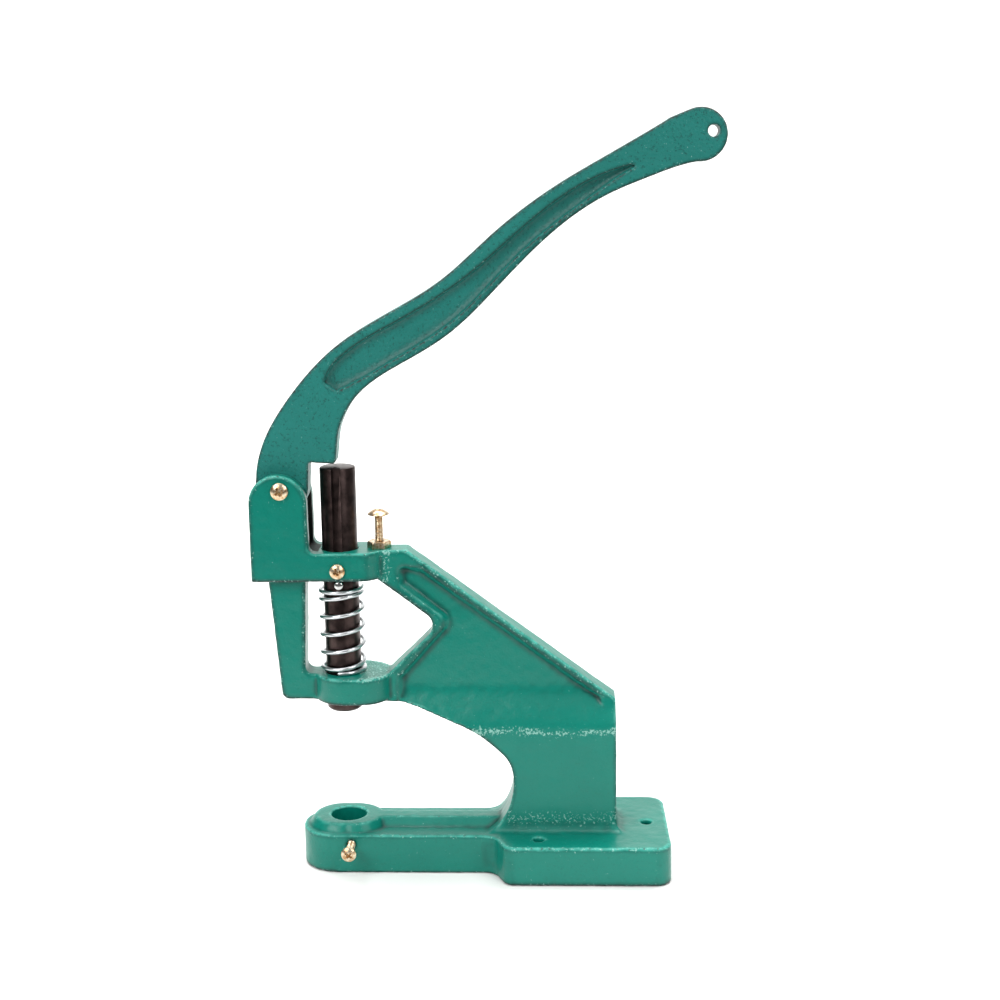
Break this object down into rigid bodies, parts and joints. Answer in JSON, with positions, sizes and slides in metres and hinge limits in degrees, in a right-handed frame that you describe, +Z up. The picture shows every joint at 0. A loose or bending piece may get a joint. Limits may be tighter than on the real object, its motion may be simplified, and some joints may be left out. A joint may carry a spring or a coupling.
{
  "type": "snap setting press",
  "caption": "Bench hand press for snaps and eyelets: C-shaped casting, curved pull lever, sprung keyed ram, adjustable stop screw and clamped die socket.",
  "frame": {"origin": "point on the underside of the arm straight below the shared axis of the ram and the die socket", "axes": "+X from the front tip to the column, +Y away from the operator's side, +Z up along the ram"},
  "size_m": [0.2094, 0.061, 0.3379],
  "materials": {
    "casting_enamel": "glossy green enamel brushed over cast iron",
    "lever_enamel": "satin green enamel over cast iron",
    "black_oxide_steel": "satin black oxide",
    "yellow_zinc": "yellow passivated zinc plate",
    "bright_steel": "ground bright steel",
    "spring_zinc": "bright zinc plated wire"
  },
  "bodies": {
    "frame": {"frame_casting": "casting_enamel", "pivot_screw": "yellow_zinc", "key_screw": "yellow_zinc", "stop_lock_nut": "yellow_zinc", "return_spring": "spring_zinc"},
    "lever": {"lever": "lever_enamel"},
    "ram": {"ram": "black_oxide_steel", "cross_pin": "bright_steel"},
    "stop_screw": {"stop_screw": "yellow_zinc"},
    "clamp_screw": {"clamp_screw": "yellow_zinc"}
  },
  "joints": [
    {"name": "lever_swing", "type": "hinge", "parent": "frame", "child": "lever", "pos_m": [-0.0244, 0, 0.1767], "axis": [0, 1, 0], "range_deg": [0, 60]},
    {"name": "ram_slide", "type": "slide", "parent": "frame", "child": "ram", "axis": [0, 0, -1], "range_m": [0, 0.0246], "stiffness_N_per_m": 2940, "springref_m": -0.015, "deforming": ["return_spring"]},
    {"name": "stop_screw_travel", "type": "slide", "parent": "frame", "child": "stop_screw", "axis": [0, 0, 1], "range_m": [-0.009, 0]},
    {"name": "clamp_screw_travel", "type": "slide", "parent": "frame", "child": "clamp_screw", "axis": [0, 1, 0], "range_m": [-0.002, 0.007]}
  ],
  "couplings": [
    {"joint": "lever_swing", "follows": "ram_slide", "rad_per_m": 42.553}
  ]
}
